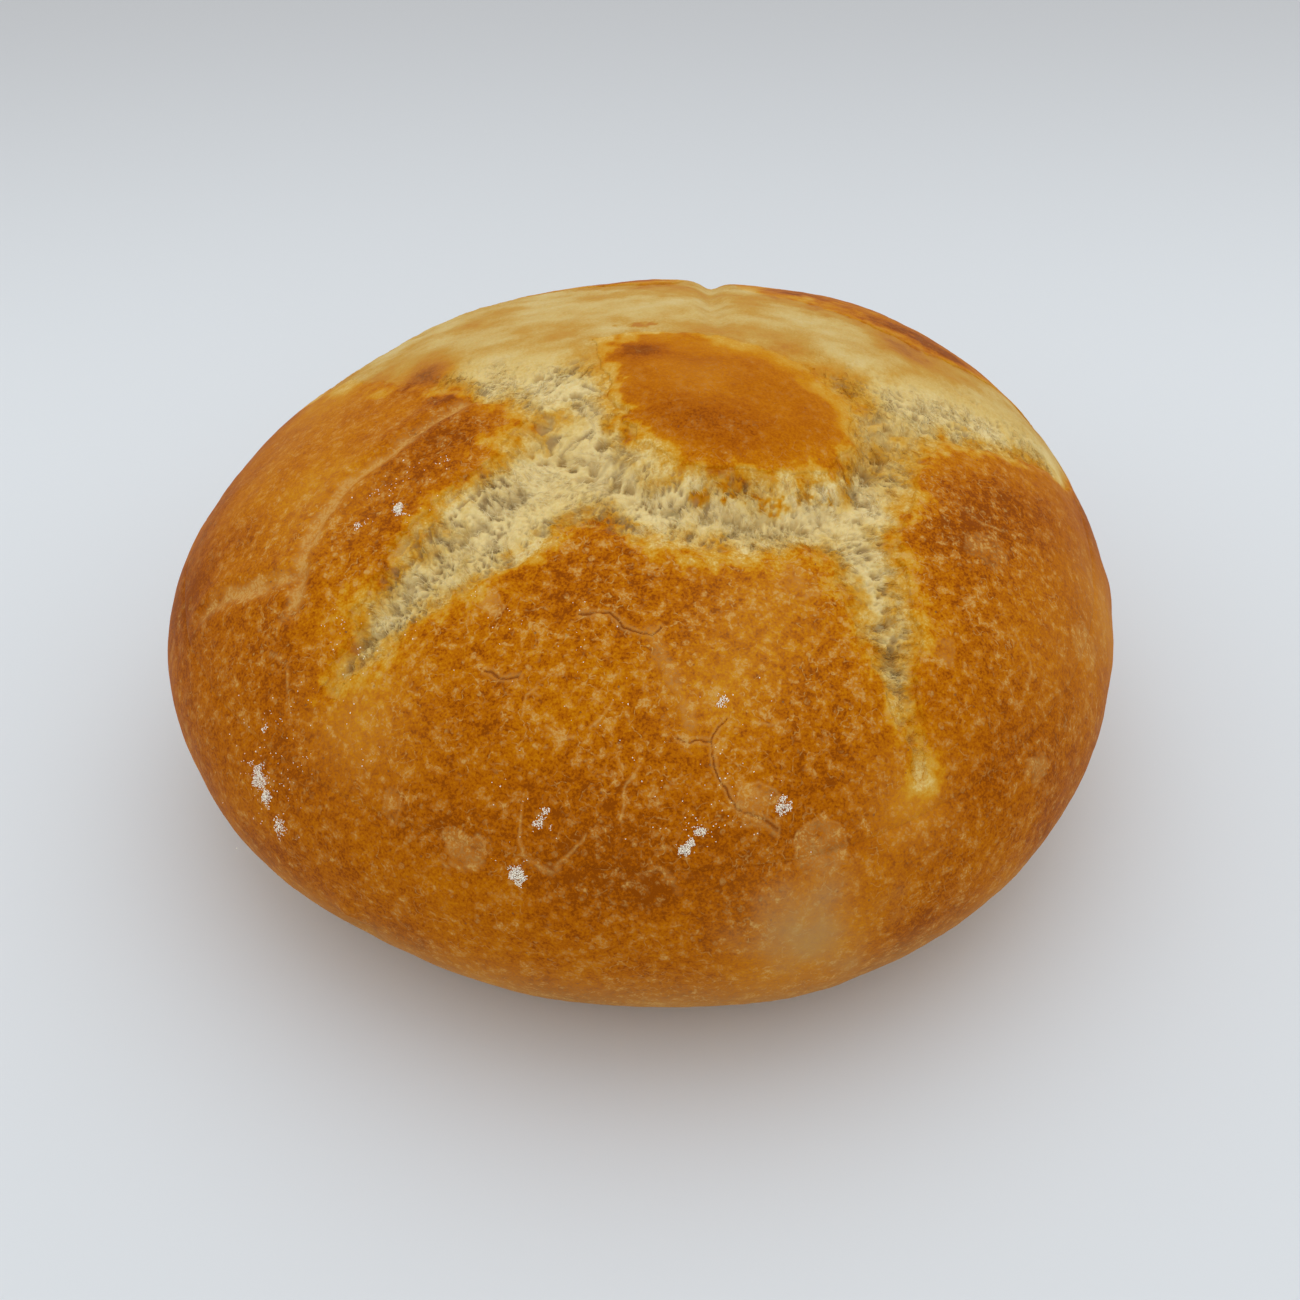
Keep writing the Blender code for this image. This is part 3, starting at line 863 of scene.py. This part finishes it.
# Geometry Nodes: a tree with named inputs, run once on a host and kept as a mesh

def flow(name, inputs):
    tree = bpy.data.node_groups.new(name, "GeometryNodeTree")
    tree.interface.new_socket("Geometry", in_out="INPUT", socket_type="NodeSocketGeometry")
    for key, value in inputs.items():
        kind = "NodeSocketMaterial" if isinstance(value, bpy.types.Material) else "NodeSocketFloat"
        tree.interface.new_socket(key, in_out="INPUT", socket_type=kind)
    tree.interface.new_socket("Geometry", in_out="OUTPUT", socket_type="NodeSocketGeometry")
    source = tree.nodes.new("NodeGroupInput")
    wires = {socket.name: Wire(socket) for socket in source.outputs if socket.name}
    return tree, wires


def finishFlow(tree, wire):
    sink = tree.nodes.new("NodeGroupOutput")
    tree.links.new(wire.socket, sink.inputs[0])


def runFlow(host, tree, inputs, name, material):
    modifier = host.modifiers.new(tree.name, "NODES")
    modifier.node_group = tree
    for item in tree.interface.items_tree:
        if item.in_out == "INPUT" and item.name in inputs:
            modifier[item.identifier] = inputs[item.name]
    seen = host.evaluated_get(bpy.context.evaluated_depsgraph_get())
    mesh = bpy.data.meshes.new_from_object(seen)
    host.modifiers.remove(modifier)
    mesh.name = name
    piece = newPiece(name, mesh, material)
    print(name + ":", len(mesh.polygons), "faces")
    return piece


def named(wire, name, kind="FLOAT"):
    return wire.node("GeometryNodeInputNamedAttribute", {"data_type": kind}, {"Name": name})


def anyOf(wire, low, high, seed):            # a random vector or number for each point
    if isinstance(low, tuple):
        settings = {"data_type": "FLOAT_VECTOR"}
        return wire.node("FunctionNodeRandomValue", settings, {0: low, 1: high, "Seed": seed}, 0)
    return wire.node("FunctionNodeRandomValue", {"data_type": "FLOAT"}, {2: low, 3: high, "Seed": seed}, 1)


strandLook = {"Length": 1.7 * mm, "Width": 0.072 * mm, "Rise": 0.30 * mm, "Density": 4.8e6}


def strandFlow(material):
    tree, wires = flow("loose_strands", {**strandLook, "Material": material})
    geometry, length, width, rise = (wires[key] for key in ("Geometry", "Length", "Width", "Rise"))

    def xyz(x, z):
        return length.node("ShaderNodeCombineXYZ", {}, {0: x, 2: z})

    curve = length.node("GeometryNodeCurveQuadraticBezier", {}, {
        "Resolution": 3, "Start": xyz(length * -0.5, rise * -0.5), "Middle": xyz(length * 0.1, rise * 1.8),
        "End": xyz(length * 0.5, rise * -0.5)})
    ring = length.node("GeometryNodeCurvePrimitiveCircle", {}, {"Resolution": 3, "Radius": width * 0.5})
    place = length.node("GeometryNodeSplineParameter") * 2.0 - 1.0
    taper = 1.0 - place * place * 0.75
    stick = curve.node("GeometryNodeCurveToMesh", {}, {0: curve, 1: ring, "Scale": taper, "Fill Caps": True})
    points = geometry.node("GeometryNodeDistributePointsOnFaces", {}, {
        "Mesh": geometry, "Density": wires["Density"] * named(geometry, "fibre"), "Seed": 5})
    normal = Wire(points.socket.node.outputs["Normal"])
    lean = named(geometry, "lean", "FLOAT_VECTOR")
    align = "FunctionNodeAlignRotationToVector"
    turn = points.node(align, {"axis": "X"}, {"Vector": lean})
    turn = turn.node(align, {"axis": "Z", "pivot_axis": "X"}, {0: turn, "Vector": normal})
    spin = anyOf(turn, (-0.7, -0.45, -0.75), (0.7, 0.45, 0.75), 11)
    spin = spin.node("FunctionNodeEulerToRotation", {}, {0: spin})
    turn = turn.node("FunctionNodeRotateRotation", {"rotation_space": "LOCAL"}, {0: turn, 1: spin})
    size = anyOf(turn, (0.45, 0.6, 0.3), (1.35, 1.25, 1.5), 12)
    made = points.node("GeometryNodeInstanceOnPoints", {}, {
        "Points": points, "Instance": stick, "Rotation": turn, "Scale": size})
    made = made.node("GeometryNodeRealizeInstances", {}, {0: made})
    made = made.node("GeometryNodeSetShadeSmooth", {}, {0: made})
    finishFlow(tree, made.node("GeometryNodeSetMaterial", {}, {0: made, "Material": wires["Material"]}))
    return tree


# flour: clumps and a little dust; place and size in mm, then how thick it lies

flourLook = {"Grain": 0.085 * mm, "Pile": 0.34 * mm, "Density": 170e6}
flourSpots = (
    (-14.4, -47.1, 0.85, 1.0), (2.9, -47.7, 0.80, 1.0), (4.2, -46.6, 0.55, 0.8), (-11.7, -45, 0.85, 0.45),
    (-11.2, -44.3, 0.5, 0.4), (12.4, -44.5, 0.95, 0.55), (-41.5, -32.5, 0.8, 0.9),
    (-42.2, -30.9, 1.1, 0.5), (-39.9, -34.7, 0.9, 0.5), (-41.5, -28.2, 0.6, 0.3),
    (-26.8, -11.7, 0.75, 0.8), (-31.4, -12, 0.6, 0.5), (6.9, -37.1, 0.65, 0.4), (-30.1, -9.6, 1.6, 0.04),
    (-22.6, -6.6, 1.2, 0.03), (-27, -9, 3.2, 0.014), (-3, -40, 3.2, 0.005), (-13, -44, 4.0, 0.005),
    (-41, -31, 4.0, 0.018), (3, -46.5, 3.2, 0.010), (-16, -29, 3.0, 0.008), (-34, -30, 4.0, 0.006),
    (8, -40, 4, 0.005), (12, -45.5, 2.4, 0.014), (-7, -33, 4, 0.004), (-30, -24, 4, 0.005),
)


def flourHost():                 # small patches of the crust where flour lies, thrown away afterwards
    places, faces, thick = [], [], []
    count = 0
    for cx, cy, size, amount in flourSpots:
        grid = sheet((cx - 2 * size, cy - 2 * size), (cx + 2 * size, cy + 2 * size), size * mm / 8)
        p = grid["p"]
        cells, p, q, field = keepOnly(grid, np.ones(len(p), bool))
        rise, edge, cracks = skinSurface(p, field)
        gap = gapTo(p, cx, cy) / size + 0.75 * fractal(p, size * 0.7 * mm, 2, 151)
        clump = step(1.0, 0.45, gap)
        dust = step(2.0, 0.3, gap) * step(-0.1, 0.5, noise(p, 0.9 * mm, 157))
        places.append(toFrame(p + outward(p) * (rise + 0.02 * mm)[:, None]))
        faces.append(cells + count)
        thick.append(amount * (clump if size < 1.5 else dust))
        count += len(p)
    mesh = bpy.data.meshes.new("flour_host")
    mesh.from_pydata(np.concatenate(places), [], np.concatenate(faces))
    store(mesh, "thick", np.concatenate(thick))
    host = bpy.data.objects.new("flour_host", mesh)
    bpy.context.scene.collection.objects.link(host)
    return host


def flourFlow(material):
    tree, wires = flow("flour", {**flourLook, "Material": material})
    geometry = wires["Geometry"]
    thick = named(geometry, "thick")
    points = geometry.node("GeometryNodeDistributePointsOnFaces", {}, {
        "Mesh": geometry, "Density": wires["Density"] * thick, "Seed": 3})
    normal = Wire(points.socket.node.outputs["Normal"])
    lift = thick * wires["Pile"] * anyOf(geometry, 0.0, 1.0, 21)
    moved = normal.node("ShaderNodeVectorMath", {"operation": "SCALE"}, {0: normal, "Scale": lift})
    points = points.node("GeometryNodeSetPosition", {}, {0: points, "Offset": moved})
    grain = geometry.node("GeometryNodeMeshIcoSphere", {}, {"Radius": wires["Grain"], "Subdivisions": 1})
    turn = anyOf(geometry, (0.0, 0.0, 0.0), (6.28, 6.28, 6.28), 22)
    turn = turn.node("FunctionNodeEulerToRotation", {}, {0: turn})
    size = anyOf(geometry, (0.25, 0.25, 0.25), (1.25, 1.15, 0.9), 23)
    made = points.node("GeometryNodeInstanceOnPoints", {}, {
        "Points": points, "Instance": grain, "Rotation": turn, "Scale": size})
    made = made.node("GeometryNodeRealizeInstances", {}, {0: made})
    finishFlow(tree, made.node("GeometryNodeSetMaterial", {}, {0: made, "Material": wires["Material"]}))
    return tree


def flourMaterial():
    material, shader, coords = startMaterial("flour")
    shade = coords.grain(0.4 * mm, 2.0).ramp(0.3, 0.7)
    connect(shader, "Base Color", shade.between(tone(255, 247, 228), tone(255, 252, 240)))
    shader.inputs["Roughness"].default_value = 0.8
    shader.inputs["Specular IOR Level"].default_value = 0.2
    return material


crustMaterial = breadMaterial("golden_crust", 1.0)
crumbMaterial = breadMaterial("torn_crumb", 0.0)
# the strands get a lighter copy of the crumb material: a painted highlight
strandMaterial = breadMaterial("crumb_strand", 0.0, look["strand"])
buildCrust()
coarse = 1
buildSkin(("left", "middle", "right"), (-99, -18, 18, 99), crustLook["skinSpacing"] * coarse, False)
buildSkin(("frontLeft", "front", "frontRight"), (-99, -5, 9.5, 99), crustLook["frontSpacing"] * coarse, True)
crumbs = buildCrumb(["torn_crumb_" + name for name in ("left", "middle", "right")])

strands = {**strandLook, "Material": strandMaterial}
strandTree = strandFlow(strandMaterial)
for host in crumbs:
    name = host.name.replace("torn_crumb", "crumb_strands")
    runFlow(host, strandTree, strands, name, strandMaterial)
flour = flourMaterial()
patches = flourHost()
runFlow(patches, flourFlow(flour), {**flourLook, "Material": flour}, "flour_specks", flour)
bpy.data.objects.remove(patches)
for tree in list(bpy.data.node_groups):
    bpy.data.node_groups.remove(tree)


# camera, light and floor

view = {"aim": (0.9, -11.1, 26.2), "distance": 272.0, "elevation": 41.9, "roll": -1.35, "lens": 66.5}


def addCamera():
    data = bpy.data.cameras.new("camera")
    data.lens, data.sensor_width = view["lens"], 36
    data.clip_start, data.clip_end = 0.01, 20
    camera = bpy.data.objects.new("camera", data)
    bpy.context.scene.collection.objects.link(camera)
    tilt = math.radians(view["elevation"])
    back = Vector((0, -math.cos(tilt), math.sin(tilt)))
    camera.location = Vector(view["aim"]) * mm + back * view["distance"] * mm
    turn = (-back).to_track_quat("-Z", "Y").to_matrix() @ Matrix.Rotation(math.radians(view["roll"]), 3, "Z")
    camera.rotation_euler = turn.to_euler()
    bpy.context.scene.camera = camera


light = {
    "sky": 0.84, "skyTone": (0.97, 0.985, 1.0),
    "lamps": (("overhead", (0.05, 0.14, 0.62), 0.75, 0.65),),
    # the floor's colour further back is darker: painted shade for the light falling off
    "floor": tone(227, 232, 236), "floorFarShade": tone(188, 189, 191),
}


def addLight():
    world = bpy.data.worlds.new("studio")
    bpy.context.scene.world = world
    world.use_nodes = True
    sky = world.node_tree.nodes["Background"]
    sky.inputs[0].default_value = (*light["skyTone"], 1)
    sky.inputs[1].default_value = light["sky"]
    for name, spot, size, power in light["lamps"]:
        data = bpy.data.lights.new(name, "AREA")
        data.shape, data.size, data.energy = "DISK", size, power
        lamp = bpy.data.objects.new(name, data)
        bpy.context.scene.collection.objects.link(lamp)
        lamp.location = spot
        lamp.rotation_euler = (-Vector(spot)).to_track_quat("-Z", "Y").to_euler()


def addFloor():
    shape = bmesh.new()
    bmesh.ops.create_grid(shape, x_segments=2, y_segments=2, size=3.0)
    mesh = bpy.data.meshes.new("floor")
    shape.to_mesh(mesh)
    shape.free()
    material, shader, coords = startMaterial("pale_floor")
    depth = coords.node("ShaderNodeSeparateXYZ", {}, {0: coords}, 1)
    # darker further back: painted shade
    far = (depth + coords.grain(0.3, 1.0) * 0.02).ramp(0.06, 0.26)
    connect(shader, "Base Color", far.between(light["floor"], light["floorFarShade"]))
    shader.inputs["Roughness"].default_value = 0.7
    mesh.materials.append(material)
    floor = bpy.data.objects.new("floor", mesh)
    bpy.context.scene.collection.objects.link(floor)


addCamera()
addLight()
addFloor()
print("camera, light and floor set")
bpy.context.scene.view_settings.view_transform = "Standard"
